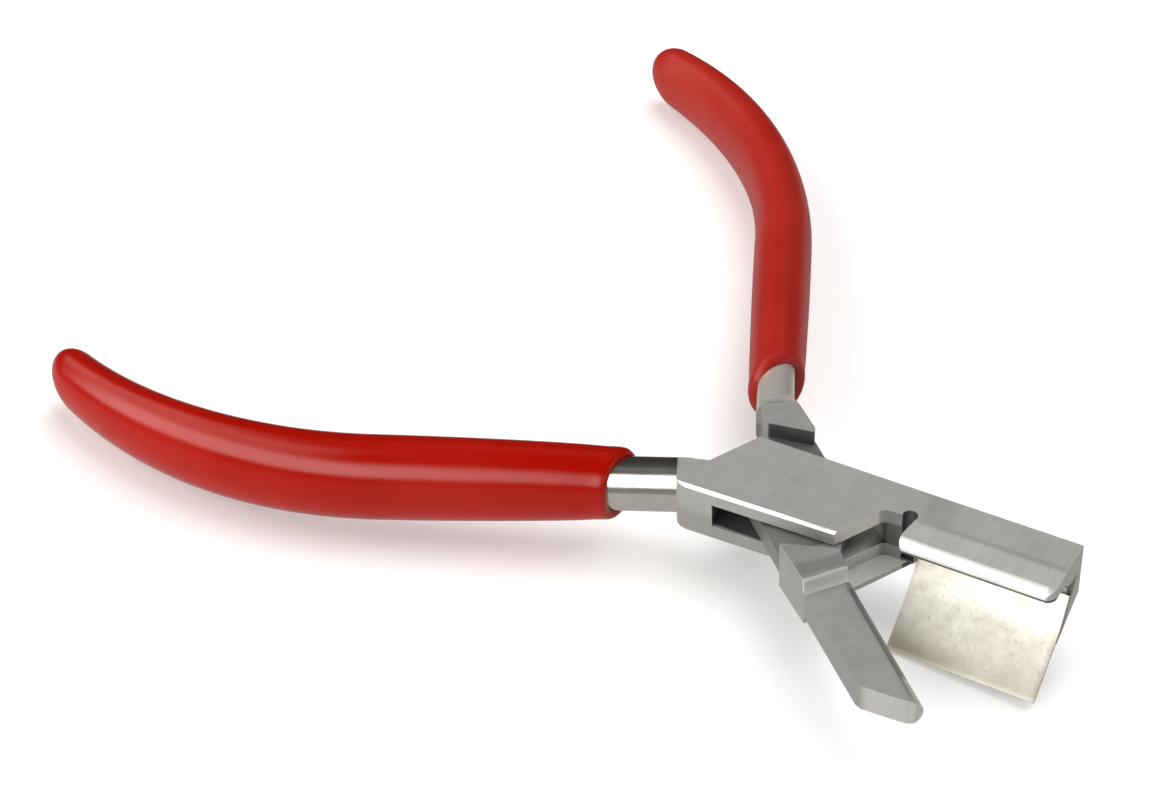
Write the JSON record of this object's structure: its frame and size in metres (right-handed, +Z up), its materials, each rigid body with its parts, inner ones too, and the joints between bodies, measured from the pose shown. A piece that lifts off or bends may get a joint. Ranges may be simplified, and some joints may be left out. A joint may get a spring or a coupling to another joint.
{
  "type": "running pliers",
  "caption": "Box-joint pliers lying open, with a beaded jaw backed by a sloping guard plate, a stepped blade jaw and red dipped grips.",
  "frame": {"origin": "pivot axis where it meets the ground underside of the box joint", "axes": "+X along the fixed jaw away from the handles, +Y towards the straight back of that jaw, +Z up along the pivot"},
  "size_m": [0.1553, 0.1275, 0.0209],
  "materials": {
    "tool_steel": "satin ground, necks polished",
    "tinned_sheet": "bright tinned sheet, blotchy",
    "dipped_vinyl": "glossy dip coating"
  },
  "bodies": {
    "fixed_lever": {"box_lever": "tool_steel", "pivot_rivet": "tool_steel", "guard_plate": "tinned_sheet", "left_grip": "dipped_vinyl"},
    "moving_lever": {"through_lever": "tool_steel", "right_grip": "dipped_vinyl"}
  },
  "joints": [
    {"name": "pivot", "type": "hinge", "parent": "fixed_lever", "child": "moving_lever", "pos_m": [0, 0, 0.00425], "axis": [0, 0, 1], "range_deg": [-4, 41]}
  ]
}
